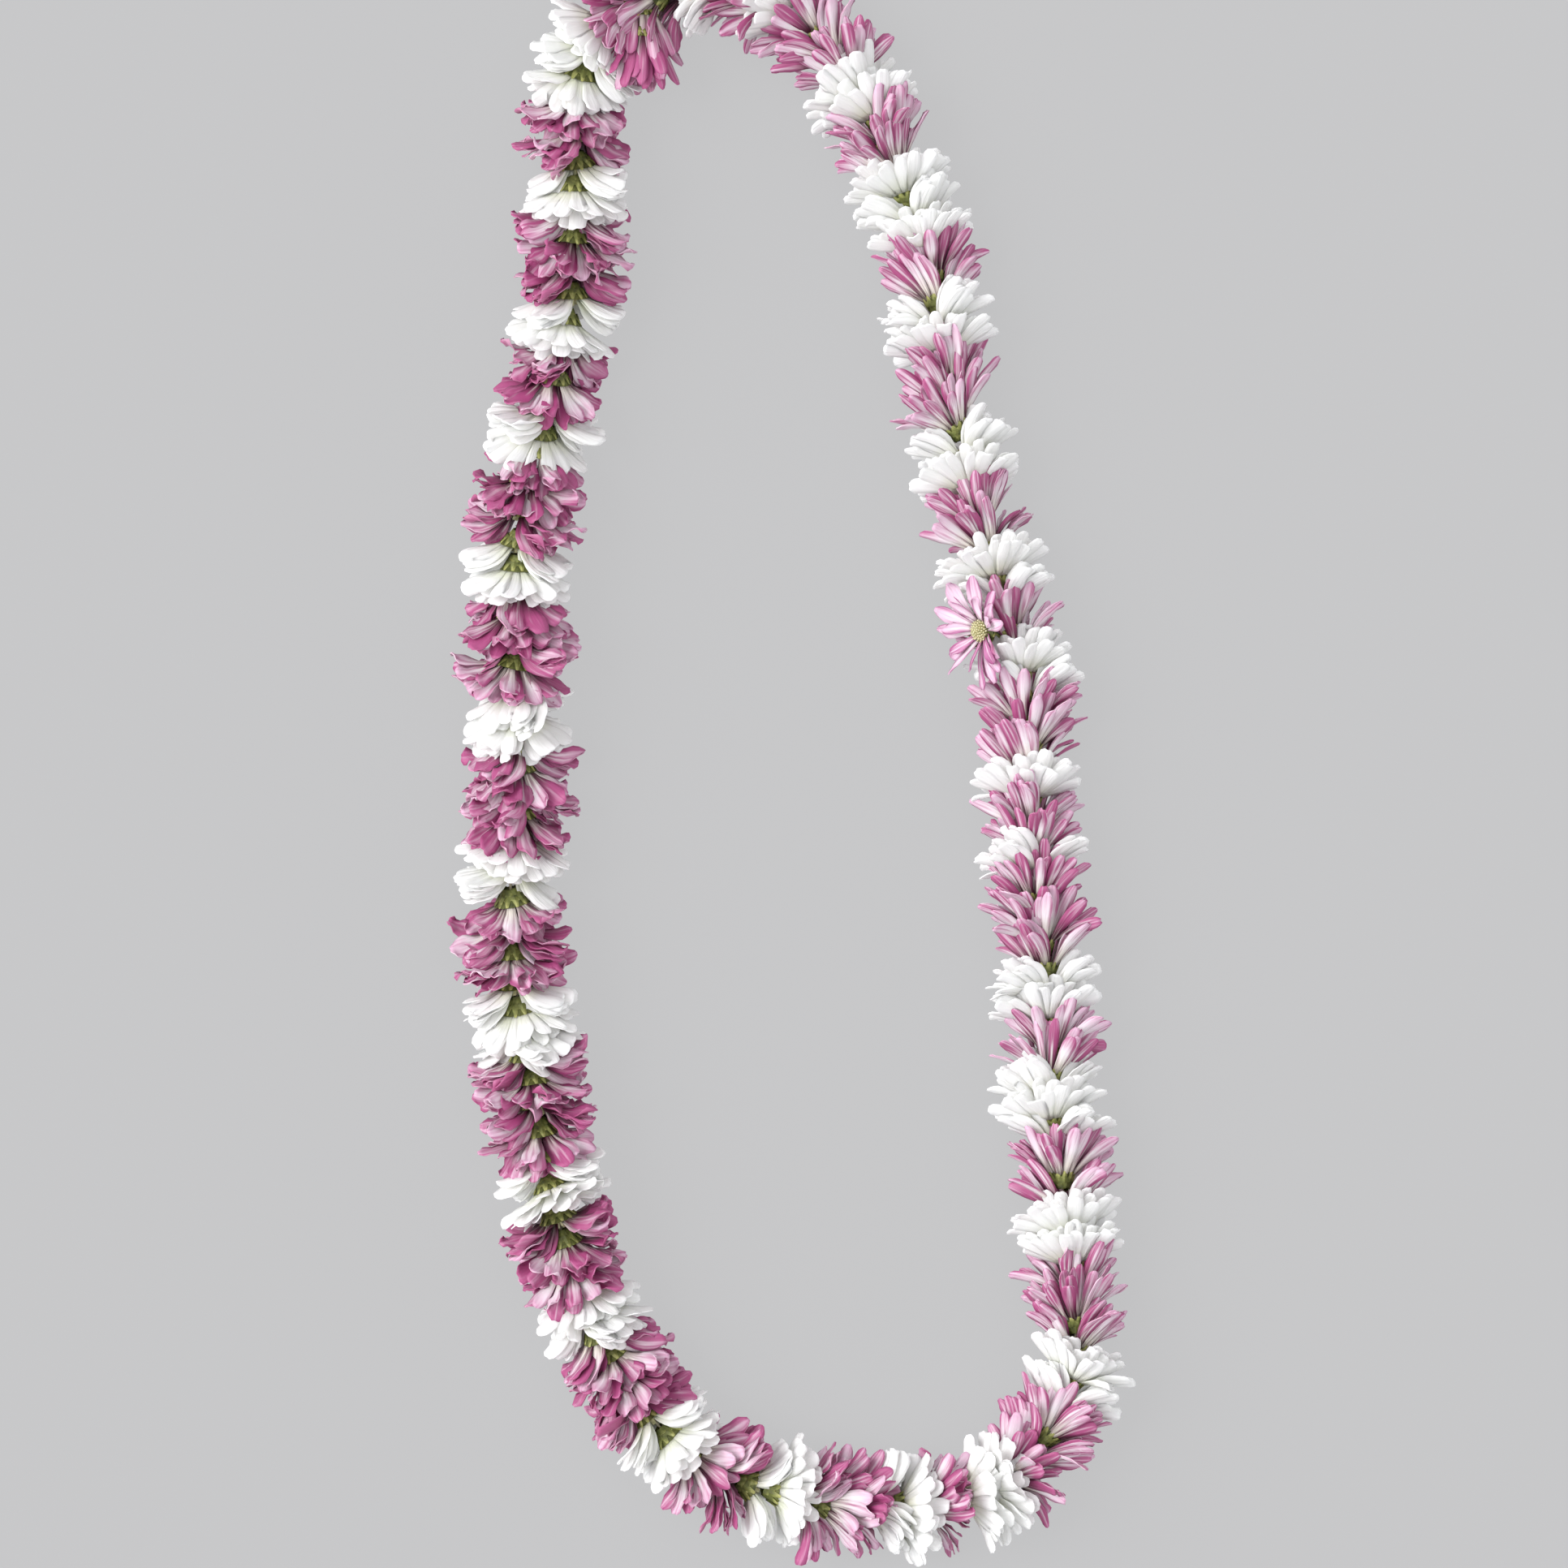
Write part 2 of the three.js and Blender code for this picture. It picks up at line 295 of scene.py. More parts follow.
def add_petal(bm, layers, matrix, angle, shape):
    """A petal at an angle round the head's axis. Its face looks forward and inward."""
    uv_layer, tint_layer, pale_layer = layers
    made = bmesh.ops.create_grid(bm, x_segments=CELLS_ACROSS, y_segments=CELLS_ALONG, size=0.5)["verts"]
    sideways = Vector((math.sin(angle), -math.cos(angle), 0))
    rows = midrib(Vector((math.cos(angle), math.sin(angle), 0)), shape)
    place = {}
    for vert in made:
        across = vert.co.x * 2
        share, spot, along, faceward = rows[round((vert.co.y + 0.5) * CELLS_ALONG)]
        place[vert] = (0.5 + across / 2, share)
        width = shape["half_width"] * half_width(share, shape)
        lag = MARGIN_LAG if across > 0 else 0.0
        wave = shape["wave"] * share**WAVE_RISE * abs(across) * math.sin(
            math.tau * (shape["waves"] * share + shape["phase"]) + lag)
        x = across * width
        lift = mixed((shape["fold"], shape["tip_fold"]), share) * width * abs(across) ** FOLD_CURVE + wave
        roll = shape["roll"] * min(1, share * ROLL_RISE) + shape["twist"] * share
        x, lift = x * math.cos(roll) - lift * math.sin(roll), x * math.sin(roll) + lift * math.cos(roll)
        x += shape["bend"] * share**2
        # The tip's corners are drawn back so that it ends round, with a small notch in the middle.
        back = share**4 * (ROUND_TIP * across**2 + shape["notch"] * (1 - abs(across)) ** 2)
        spot = spot - along * back * shape["length"]
        vert.co = settle(matrix @ (spot + sideways * x + faceward * lift))
        vert[tint_layer] = shape["tint"]
        vert[pale_layer] = shape["pale"]
    for face in {face for vert in made for face in vert.link_faces}:
        face.smooth = True
        face.material_index = shape["look"]
        for loop in face.loops:
            loop[uv_layer].uv = place[loop.vert]


print("a petal has", CELLS_ACROSS * CELLS_ALONG, "faces before it gets its thickness")

# %% [markdown]
# The heads on the left strand face down the page, and lie open. Those on the right strand face up
# it, with longer, narrower petals that close forward like a shuttlecock. Both forms are written down
# as layers of petals, and a head in between is a blend of the two. The purple kind has ruffled
# petals where it lies open, and the white kind has a fan of small even ones. The turned head, which
# is seen from the front, has layers of its own. It has one form, so its pairs hold one value twice.

# %% Layers of petals
# For each layer, as a pair for the open form and the closed one: how many petals, radius and height
# of their roots in mm, sweep at the foot and at the tip in degrees, and length and half width in mm.
LAYERS = {
    "purple": [
        {"petals": (15, 15), "root": (5.4, 4.3), "height": (4.1, 3.6), "sweep": (38, 48),
         "tip": (8, 36), "length": (15.6, 18.0), "half": (3.3, 2.1)},
        {"petals": (14, 14), "root": (4.6, 3.8), "height": (4.6, 4.1), "sweep": (50, 60),
         "tip": (30, 48), "length": (15.4, 18.4), "half": (3.2, 2.1)},
        {"petals": (10, 10), "root": (3.7, 3.1), "height": (5.0, 4.6), "sweep": (62, 72),
         "tip": (50, 62), "length": (14.4, 17.2), "half": (3.0, 1.9)},
    ],
    "white": [
        {"petals": (17, 18), "root": (5.4, 4.8), "height": (4.1, 3.9), "sweep": (36, 36),
         "tip": (18, 16), "length": (14.8, 15.8), "half": (2.8, 2.4)},
        {"petals": (15, 16), "root": (4.6, 4.2), "height": (4.6, 4.3), "sweep": (46, 48),
         "tip": (32, 32), "length": (14.6, 15.8), "half": (2.8, 2.4)},
        {"petals": (11, 11), "root": (3.7, 3.4), "height": (5.0, 4.7), "sweep": (58, 62),
         "tip": (48, 50), "length": (14.0, 15.0), "half": (2.6, 2.2)},
    ],
    "turned": [
        {"petals": (14, 14), "root": (3.6, 3.6), "height": (4.2, 4.2), "sweep": (26, 26),
         "tip": (14, 14), "length": (15.4, 15.4), "half": (2.5, 2.5)},
        {"petals": (7, 7), "root": (3.4, 3.4), "height": (4.6, 4.6), "sweep": (38, 38),
         "tip": (30, 30), "length": (12.0, 12.0), "half": (1.9, 1.9)},
    ],
}
# How the petals of each form lie: the roll in degrees that lays one over the next like a pinwheel's,
# the fold along the middle, the wave of the margins in mm, the widths left at the foot and near the
# tip, how unevenly they are swept, turned and rolled in degrees, the share that stands loose, and how
# pale they are.
HABITS = {
    "purple": {"roll": (18, 12), "fold": (0.2, 0.4), "wave": (1.9, 0.4), "foot": (0.38, 0.5),
               "tip_width": (0.6, 0.7), "uneven_sweep": (9, 9), "uneven_turn": (6, 5),
               "uneven_roll": (14, 12), "loose": 0.08, "pale": (0.0, 0.65)},
    "white": {"roll": (6, 6), "fold": (0.15, 0.15), "wave": (0.4, 0.3), "foot": (0.5, 0.5),
              "tip_width": (0.85, 0.85), "uneven_sweep": (5, 5), "uneven_turn": (3, 3),
              "uneven_roll": (7, 7), "loose": 0.03, "pale": (0.0, 0.8)},
    "turned": {"roll": (8, 8), "fold": (0.3, 0.3), "wave": (0.6, 0.6), "foot": (0.4, 0.4),
               "tip_width": (0.55, 0.55), "uneven_sweep": (9, 9), "uneven_turn": (7, 7),
               "uneven_roll": (12, 12), "loose": 0.0, "pale": (0.6, 0.6)},
}
for form, form_layers in LAYERS.items():
    counts = [sum(layer["petals"][end] for layer in form_layers) for end in (0, 1)]
    print(form, "head:", counts[0], "petals when open and", counts[1], "when closed")

# %% [markdown]
# No two petals of a flower are alike, and equal copies would look like a machine's work. Each petal
# takes its layer's measures and adds small differences by chance, from one seeded source, so that
# every run gives the same lei. Other differences have a reason. Petals at the rope's sides have
# rolled over, those on top lie along the rope, and where a head's petals part they lean away from
# the parting and show the green of the next head.

# %% A petal's own shape
# The range that a petal's own share of a measure is drawn from, or its own value.
OWN = {
    "length": (0.8, 1.08), "half_width": (0.82, 1.14), "widest": (0.6, 0.76), "tip_width": (0.85, 1.15),
    "notch": (0, 0.06), "fold": (0.4, 1.5), "wave": (0.3, 1.2), "waves": (1.1, 2.4),
}
TIP_FOLD = (0.0, 0.25)
UNEVEN_TIP_FOLD = 0.18
UNEVEN_TWIST = (16, 12)  # degrees
UNEVEN_BEND = 0.9 * MM
MOST_UNEVEN = 1.8  # no difference is more than this many times its usual amount
SLIMMING = 0.6  # below 1, a half closed head's petals are more than half as slim as a closed one's
LEAN_SHARES = (0.6, 1.2)  # of a petal's lean, taken at its foot and at its tip
SHADE_PALE = 0.3  # how much paler one head is than the next, at most
FACE, OPEN_FACE = 0, 2  # which of its piece's materials a petal's face has
TOP_LEAN = 8 * DEG  # petals on the upper side of a closed head lie more along the rope
HEAD_SPREAD = 5 * DEG  # how much more open or closed one head is than the next
SIDE_ROLL = 28 * DEG  # petals at the rope's two sides have settled with their backs turned up
LOOSE_BY = 26 * DEG  # how much further open a loose petal stands
PARTING_REACH = 70 * DEG
PARTING_TURN = (24 * DEG, 17 * DEG)  # how far the petals next to a parting are turned away at the foot
PARTING_BEND = (8 * MM, 5 * MM)  # and how far their tips bend aside


def uneven(amount):
    """A small difference by chance."""
    return amount * max(-MOST_UNEVEN, min(MOST_UNEVEN, chance.gauss(0, 1)))


def own(measure):
    """One petal's own share of a measure, or its own value."""
    return chance.uniform(*OWN[measure])


def form_of(head):
    """Which of the layers and habits a head has."""
    return "turned" if head["turned"] else head["kind"]


def petal_shape(layer, head, angle):
    """One petal's own sizes: its layer's, with the small differences that no two petals share."""
    closed = head["closed"]
    slim = closed**SLIMMING
    habit = HABITS[form_of(head)]
    off = (angle - head["parting"] + math.pi) % math.tau - math.pi
    drawn = max(0.0, 1 - abs(off) / PARTING_REACH) if head["parted"] else 0.0
    looks_up = max(0.0, (head["matrix"].to_3x3() @ Vector((math.cos(angle), math.sin(angle), 0))).z)
    settled = 0 if head["turned"] else -SIDE_ROLL * math.cos(angle)
    lean = 0 if head["turned"] else TOP_LEAN * looks_up * closed + HEAD_SPREAD * head["shift"]
    lean += uneven(mixed(habit["uneven_sweep"], closed)) * DEG
    if chance.random() < habit["loose"]:
        lean -= LOOSE_BY
    return {
        "root_radius": mixed(layer["root"], closed) * MM,
        "root_height": mixed(layer["height"], closed) * MM,
        "sweep": mixed(layer["sweep"], closed) * DEG + lean * LEAN_SHARES[0],
        "tip_sweep": mixed(layer["tip"], closed) * DEG + lean * LEAN_SHARES[1],
        "turn": math.copysign(drawn * mixed(PARTING_TURN, closed), off),
        "length": mixed(layer["length"], closed) * MM * own("length"),
        "half_width": mixed(layer["half"], slim) * MM * own("half_width"),
        "widest": own("widest"),
        "foot": mixed(habit["foot"], closed),
        "tip_width": mixed(habit["tip_width"], closed) * own("tip_width"),
        "notch": own("notch"),
        "fold": mixed(habit["fold"], closed) * own("fold"),
        "tip_fold": mixed(TIP_FOLD, closed) + uneven(UNEVEN_TIP_FOLD),
        "wave": mixed(habit["wave"], slim) * MM * own("wave"),
        "waves": own("waves"),
        "phase": chance.random(),
        "roll": settled + (head["spiral"] * mixed(habit["roll"], closed)
                           + uneven(mixed(habit["uneven_roll"], closed))) * DEG,
        "twist": uneven(mixed(UNEVEN_TWIST, closed)) * DEG,
        "bend": uneven(UNEVEN_BEND) - math.copysign(drawn * mixed(PARTING_BEND, closed), off),
        "tint": chance.random(),
        "pale": mixed(habit["pale"], closed) + SHADE_PALE * head["shade"],
        "look": OPEN_FACE if head["turned"] else FACE,
    }


# %% [markdown]
# A bunch's petals go into one mesh, which is lighter than an object for each petal. Its vertices
# carry each petal's tint and how pale it is, for the material to read. A petal that would stand
# before the turned head's face is left out, because on the real lei that head has pushed it aside.

# %% Petals of a bunch
TURNED_CLEAR_HEIGHT = 1 * MM  # above the turned head's calyx no other head's petal stands
TURNED_CLEAR_RADIUS = 12 * MM
NEAR_TURNED = 50 * MM  # heads further away than this can't reach it
LOOKED_AT = (0.5, 1)  # the places on a petal, as shares of its length, that are looked at


def hides_the_face(head, angle, shape):
    """Whether a petal would stand before the turned head's face."""
    if head["turned"] or (head["place"] - turned["place"]).length > NEAR_TURNED:
        return False
    sweep = (shape["sweep"] + shape["tip_sweep"]) / 2
    for share in LOOKED_AT:
        out = shape["root_radius"] + share * shape["length"] * math.cos(sweep)
        rise = shape["root_height"] + share * shape["length"] * math.sin(sweep)
        spot = head["matrix"] @ Vector((out * math.cos(angle), out * math.sin(angle), rise))
        seen = turned["matrix"].inverted() @ spot
        if seen.z > TURNED_CLEAR_HEIGHT and seen.xy.length < TURNED_CLEAR_RADIUS:
            return True
    return False


def petals_of(bunch):
    """All the petals of one bunch in one bmesh."""
    bm = bmesh.new()
    layers = (bm.loops.layers.uv.new("petal"), bm.verts.layers.float.new("tint"),
              bm.verts.layers.float.new("pale"))
    for head in bunch["heads"]:
        for layer in LAYERS[form_of(head)]:
            start = chance.uniform(0, math.tau)
            petals = round(mixed(layer["petals"], head["closed"]))
            uneven_turn = mixed(HABITS[form_of(head)]["uneven_turn"], head["closed"]) * DEG
            for i in range(petals):
                angle = start + math.tau * i / petals + uneven(uneven_turn)
                shape = petal_shape(layer, head, angle)
                angle += shape["turn"]
                if not hides_the_face(head, angle, shape):
                    add_petal(bm, layers, head["matrix"], angle, shape)
    return bm


# %% [markdown]
# A colour in a picture is written in sRGB, and Blender's shaders want it linear, so one function
# turns a hex value over. Another adds a node with its settings, its links and, where it is a colour
# ramp, its stops.

# %% Colour and node helpers
def linear(hex_colour):
    """The linear colour of an sRGB hex value, with full alpha."""
    parts = [int(hex_colour[i:i + 2], 16) / 255 for i in (1, 3, 5)]
    return (*[c / 12.92 if c <= 0.04045 else ((c + 0.055) / 1.055) ** 2.4 for c in parts], 1)


def new_material(name, roughness, **sockets):
    """A material with its Principled shader set. Gives the material and the shader node."""
    material = bpy.data.materials.new(name)
    material.use_nodes = True
    shader = material.node_tree.nodes["Principled BSDF"]
    shader.inputs["Roughness"].default_value = roughness
    for socket, value in sockets.items():
        shader.inputs[socket.replace("_", " ")].default_value = value
    return material, shader


def add_node(material, kind, settings=None, inputs=None, stops=()):
    """Adds a node. Gives the node.

    inputs maps a socket's name or number to a value, or to an output to link. stops are those of a
    colour ramp, each a place and a hex colour.
    """
    node = material.node_tree.nodes.new(kind)
    for name, value in (settings or {}).items():
        setattr(node, name, value)
    for socket, value in (inputs or {}).items():
        if isinstance(value, bpy.types.NodeSocket):
            material.node_tree.links.new(value, node.inputs[socket])
        else:
            node.inputs[socket].default_value = value
    if stops:
        elements = node.color_ramp.elements
        while len(elements) < len(stops):
            elements.new(0.5)
        for element, (place, colour) in zip(elements, stops):
            element.position = place
            element.color = linear(colour)
    return node


def link(material, output, socket):
    """Links an output to a socket of the shader."""
    material.node_tree.links.new(output, socket)


def weighted_sum(material, terms, start):
    """The sum of outputs, each times its weight, and a constant to start from."""
    total = start
    for output, weight in terms:
        total = add_node(material, "ShaderNodeMath", {"operation": "MULTIPLY_ADD"}, {
            0: output, 1: weight, 2: total}).outputs[0]
    return total


def grain(material, shader, spacing, detail, strength, depth):
    """A fine pattern fixed to the piece, with so much between its marks. The relief follows it too."""
    spot = add_node(material, "ShaderNodeTexCoord").outputs["Object"]
    level = add_node(material, "ShaderNodeTexNoise", inputs={
        "Vector": spot, "Scale": 1 / spacing, "Detail": detail}).outputs["Fac"]
    relief = add_node(material, "ShaderNodeBump", inputs={
        "Strength": strength, "Distance": depth, "Height": level}).outputs[0]
    link(material, relief, shader.inputs["Normal"])
    return level


print("sRGB middle grey is", round(linear("#808080")[0], 3), "in linear light")

# %% [markdown]
# A petal is living tissue, a thin wet sheet with a waxy skin: it lets some light through, so it gets
# a little subsurface scattering, and it shines softly, so its roughness is middling. Fine veins run
# its length about half a millimetre apart. They are drawn from the petal's own UV map, where U goes
# across it, so that they fan and narrow with the petal as real ones do.

# %% Petal materials
PETAL_WIDTH = 7.0  # mm, across which the veins are spaced
VEIN_SPACING = 0.8  # mm, coarser than the real half millimetre so that it shows
BAND_SPACING = 2.0  # mm, of the broad streaks and soft ridges that run the petal's length
CELLS_TO_A_PETAL = 1.3  # of the veins' pattern, along the petal
PETALS_APART = 60  # cells of the pattern between the lightest petal and the darkest, so that no two match
VEINS_TO_BANDS = 0.6  # how strongly the veins mark the petal, against the bands
RIDGES_TO_VEINS = 1.5  # how high the bands' ridges are, against the veins
MIDDLE_STOP = 0.42  # share of the length where the middle colour is, on a petal with no foot colour
SCATTER_DEPTH = 2 * MM
VEIN_STRENGTH, VEIN_DEPTH = 0.6, 0.4 * MM
GLOSS = (0.4, 0.62)  # roughness between the veins and on them
# What makes a place on a petal light: how pale its head is and its own tint. Marks are stronger on a
# pale petal.
PALE_LEVEL, TINT_LEVEL, DARKEST_LEVEL = 0.35, 0.8, -0.65
MARKS_LEAST, MARKS_BY_PALE = 0.5, 0.6


def petal_material(name, deep, light, streaks, pale_middle, glow, spread=(1.0, 0.5, 0.7), foot=0.16):
    """Deep and light are each a petal's colours at its foot, middle and tip.

    streaks is how strongly the veins part the two, pale_middle how much lighter the petal is along
    its middle than at its margins, glow how much of the light goes in, spread how far its red, green
    and blue go there, and foot the share of its length that the foot's colour reaches. A dark foot
    colour is painted shade, for the hollows round the calyx where the petals crowd together.
    """
    material, shader = new_material(name, 0.5, Subsurface_Weight=glow, Subsurface_Scale=SCATTER_DEPTH)
    shader.inputs["Subsurface Radius"].default_value = spread
    uv = add_node(material, "ShaderNodeUVMap", {"uv_map": "petal"}).outputs["UV"]
    across, along, _ = add_node(material, "ShaderNodeSeparateXYZ", inputs={0: uv}).outputs
    tint = add_node(material, "ShaderNodeAttribute", {"attribute_name": "tint"}).outputs["Fac"]
    pale = add_node(material, "ShaderNodeAttribute", {"attribute_name": "pale"}).outputs["Fac"]
    spot = add_node(material, "ShaderNodeCombineXYZ", inputs={0: across, 1: along, 2: tint}).outputs[0]

    def lengthwise(spacing, detail):
        """A pattern stretched along the petal, with so many millimetres between its lines across it."""
        stretched = add_node(material, "ShaderNodeMapping", inputs={
            "Vector": spot, "Scale": (PETAL_WIDTH / spacing, CELLS_TO_A_PETAL, PETALS_APART)}).outputs[0]
        return add_node(material, "ShaderNodeTexNoise", inputs={
            "Vector": stretched, "Scale": 1.0, "Detail": detail, "Roughness": 0.5}).outputs["Fac"]

    veins = lengthwise(VEIN_SPACING, 2.0)
    bands = lengthwise(BAND_SPACING, 1.0)
    places = (foot, MIDDLE_STOP + foot / 2, 1.0)
    colours = [add_node(material, "ShaderNodeValToRGB", inputs={"Fac": along}, stops=list(zip(places, hexes)))
               for hexes in (deep, light)]
    margin = add_node(material, "ShaderNodeMath", {"operation": "PINGPONG"}, {0: across, 1: 0.5}).outputs[0]
    marks = [(bands, streaks), (veins, streaks * VEINS_TO_BANDS), (margin, pale_middle * 2)]
    usual = (streaks * (1 + VEINS_TO_BANDS) + pale_middle) / 2
    marks_level = weighted_sum(material, marks, -usual)
    contrast = weighted_sum(material, [(pale, MARKS_BY_PALE)], MARKS_LEAST)
    marked = add_node(material, "ShaderNodeMath", {"operation": "MULTIPLY"}, {
        0: marks_level, 1: contrast}).outputs[0]
    level = weighted_sum(material, [(marked, 1), (pale, PALE_LEVEL), (tint, TINT_LEVEL)], DARKEST_LEVEL)
    share = add_node(material, "ShaderNodeMapRange", {"interpolation_type": "SMOOTHSTEP"}, {
        "Value": level, "From Min": -0.5, "From Max": 0.5}).outputs[0]
    colour = add_node(material, "ShaderNodeMix", {"data_type": "RGBA"}, {
        "Factor": share, 6: colours[0].outputs[0], 7: colours[1].outputs[0]}).outputs[2]
    link(material, colour, shader.inputs["Base Color"])
    ridges = add_node(material, "ShaderNodeMath", {"operation": "MULTIPLY_ADD"}, {
        0: bands, 1: RIDGES_TO_VEINS, 2: veins}).outputs[0]
    relief = add_node(material, "ShaderNodeBump", inputs={
        "Strength": VEIN_STRENGTH, "Distance": VEIN_DEPTH, "Height": ridges}).outputs[0]
    link(material, relief, shader.inputs["Normal"])
    gloss = add_node(material, "ShaderNodeMapRange", inputs={
        "Value": veins, "To Min": GLOSS[0], "To Max": GLOSS[1]}).outputs[0]
    link(material, gloss, shader.inputs["Roughness"])
    return material


WHITE_SPREAD = (1.0, 1.0, 0.95)  # light goes nearly as far into a white petal whatever its colour

# The face's deep foot colour, near black over the first third of the petal, is painted shade for the dark
# hollows round the calyx.
purple_face = petal_material(
    "purple petal face, waxy living tissue",
    deep=("#2a0510", "#983c6b", "#b15c87"), light=("#8e5270", "#dab3ca", "#e6cbd9"),
    # pale_middle below 0 paints the face's margins lighter, as a painted highlight along the petals' edges.
    streaks=1.5, pale_middle=-0.3, glow=0.06, foot=0.32)
# The back's dark deep foot colour is painted shade as well, where the feet lie in the hollow next to the
# calyx.
purple_back = petal_material(
    "purple petal back, paler and streaked",
    deep=("#4e1830", "#a14375", "#ab5080"), light=("#e6dcd2", "#e8dde3", "#d8acc6"),
    streaks=2.2, pale_middle=0.5, glow=0.1)
white_face = petal_material(
    "white petal face, waxy living tissue",
    deep=("#e8ead6", "#f7f7f4", "#fafaf8"), light=("#f2f2e8", "#fafaf8", "#fbfbfa"),
    streaks=0.6, pale_middle=0.2, glow=0.6, spread=WHITE_SPREAD)
white_back = petal_material(
    "white petal back, faintly green at the foot",
    deep=("#dfe3c6", "#f5f5f0", "#f8f8f5"), light=("#eeefe0", "#f9f9f6", "#fbfbfa"),
    streaks=0.6, pale_middle=0.2, glow=0.6, spread=WHITE_SPREAD)
open_face = petal_material(
    "open purple face, pale with darker margins",
    deep=("#b06a93", "#bb749f", "#9c4a7b"), light=("#f2e4ea", "#eed8e5", "#dcb0ca"),
    streaks=1.6, pale_middle=0.7, glow=0.15)
# For each kind a face and its back, and for the purple kind the turned head's face and back too.
PETAL_LOOKS = {
    "purple": (purple_face, purple_back, open_face, purple_back),
    "white": (white_face, white_back),
}
for kind, looks in PETAL_LOOKS.items():
    print(kind, "petals:", ", ".join(look.name for look in looks))

# %% [markdown]
# A petal has a thickness, so each bunch's petals get a Solidify modifier, which needs no second
# sheet to be modelled. Its material offset gives the back of every petal the material that comes
# after its face's in the piece's list. The modifier stays live.

# %% Petals of every bunch
PETAL_THICKNESS = 0.3 * MM


def add_piece(name, bm, materials):
    """Makes a mesh object at the origin from a bmesh, riding on the lei's one body."""
    mesh = bpy.data.meshes.new(name)
    bm.to_mesh(mesh)
    bm.free()
    for material in materials:
        mesh.materials.append(material)
    piece = bpy.data.objects.new(name, mesh)
    bpy.context.scene.collection.objects.link(piece)
    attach(piece, "root")
    return piece


petal_faces = 0
for bunch in bunches:
    piece = add_piece(f"petals_{bunch['node']}", petals_of(bunch), PETAL_LOOKS[bunch["kind"]])
    skin = piece.modifiers.new("thickness", "SOLIDIFY")
    skin.thickness = PETAL_THICKNESS
    skin.offset = 0
    skin.material_offset = 1
    skin.material_offset_rim = 0
    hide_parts(bunch["node"])
    petal_faces += len(piece.data.polygons)
print("petal faces", petal_faces)

# %% [markdown]
# Behind the petals each head has a calyx: a green cup of small pointed bracts in two rows. It shows
# as dark olive patches wherever the petals of the head behind it part. The cup is a cone, and each
# bract a flattened cone with four sides that leans on it. Leaves could be modelled instead, but so
# little of them is seen that it would be lost. An attribute that runs from a bract's foot to its tip
# makes the tips pale.

# %% Calyces
CUP_FOOT = 1.9 * MM
CUP_RIM = (6.5 * MM, 4.9 * MM)  # for an open head and a closed one
CUP_HEIGHT = 4.4 * MM
CUP_SIDES = 12
BRACTS = 12  # in each row
BRACT_ROWS = (0.28, 0.66)  # share of the cup's slope where a row's middle is
BRACT_LENGTH = 4.0 * MM
BRACT_HALF_WIDTH = 1.4 * MM
BRACT_TIP = 0.3  # share of its width that is left at the tip
BRACT_FLATNESS = 0.34
BRACT_STRETCH = (0.75, 1.15)  # range of one bract's length against the usual
BRACT_LEAN = (0.75, 1.0)  # range of its lean against the cup's slope
BRACT_LIFT = 0.2 * MM  # off the cup
MOTTLE_SPACING = 5 / 3 * MM  # of the patches of dark and lighter green
TIP_PALENESS = 0.5  # how much further along the ramp of greens a bract's tip is than its foot


def add_calyx(bm, tip_layer, head):
    """Adds one head's cup and its two rows of bracts."""
    rim = mixed(CUP_RIM, head["closed"])
    slope = math.atan2(rim - CUP_FOOT, CUP_HEIGHT)
    cup = bmesh.ops.create_cone(bm, cap_ends=True, segments=CUP_SIDES, radius1=CUP_FOOT, radius2=rim,
                                depth=CUP_HEIGHT)["verts"]
    bmesh.ops.translate(bm, verts=cup, vec=(0, 0, CUP_HEIGHT / 2))
    made = list(cup)
    for row, share in enumerate(BRACT_ROWS):
        for i in range(BRACTS):
            bract = bmesh.ops.create_cone(bm, cap_ends=True, segments=4, radius1=BRACT_HALF_WIDTH,
                                          radius2=BRACT_HALF_WIDTH * BRACT_TIP,
                                          depth=BRACT_LENGTH)["verts"]
            for vert in bract:
                vert[tip_layer] = 0.5 + vert.co.z / BRACT_LENGTH
            bmesh.ops.scale(bm, verts=bract, vec=(1, BRACT_FLATNESS, chance.uniform(*BRACT_STRETCH)))
            lean = Matrix.Rotation(-slope * chance.uniform(*BRACT_LEAN), 4, "X")
            lift = Matrix.Translation((0, mixed((CUP_FOOT, rim), share) + BRACT_LIFT, CUP_HEIGHT * share))
            turn = Matrix.Rotation(math.tau * (i + row / 2) / BRACTS, 4, "Z")
            bmesh.ops.transform(bm, matrix=turn @ lift @ lean, verts=bract)
            made += bract
    bmesh.ops.transform(bm, matrix=head["matrix"], verts=made)
    for vert in made:
        settle(vert.co)


def calyx_material():
    """Leafy bracts, as they grew: matt, mottled in dark and lighter green, with pale dry tips."""
    material, shader = new_material("fresh green bracts", 0.6, Subsurface_Weight=0.05,
                                    Subsurface_Scale=1 * MM)
    patches = grain(material, shader, MOTTLE_SPACING, detail=3.0, strength=0.4, depth=0.2 * MM)
    tip = add_node(material, "ShaderNodeAttribute", {"attribute_name": "tip"}).outputs["Fac"]
    share = weighted_sum(material, [(tip, TIP_PALENESS)], patches)
    colour = add_node(material, "ShaderNodeValToRGB", inputs={"Fac": share}, stops=[
        (0.35, "#3a3f17"), (0.7, "#6b7034"), (1.0, "#a3a462")]).outputs["Color"]
    link(material, colour, shader.inputs["Base Color"])
    return material


bract_green = calyx_material()
for kind in ("purple", "white"):
    bm = bmesh.new()
    tip_layer = bm.verts.layers.float.new("tip")
    for head in all_heads:
        if head["kind"] == kind:
            add_calyx(bm, tip_layer, head)
    piece = add_piece(f"{kind}_calyces", bm, [bract_green])
    print(piece.name, len(piece.data.polygons), "faces")

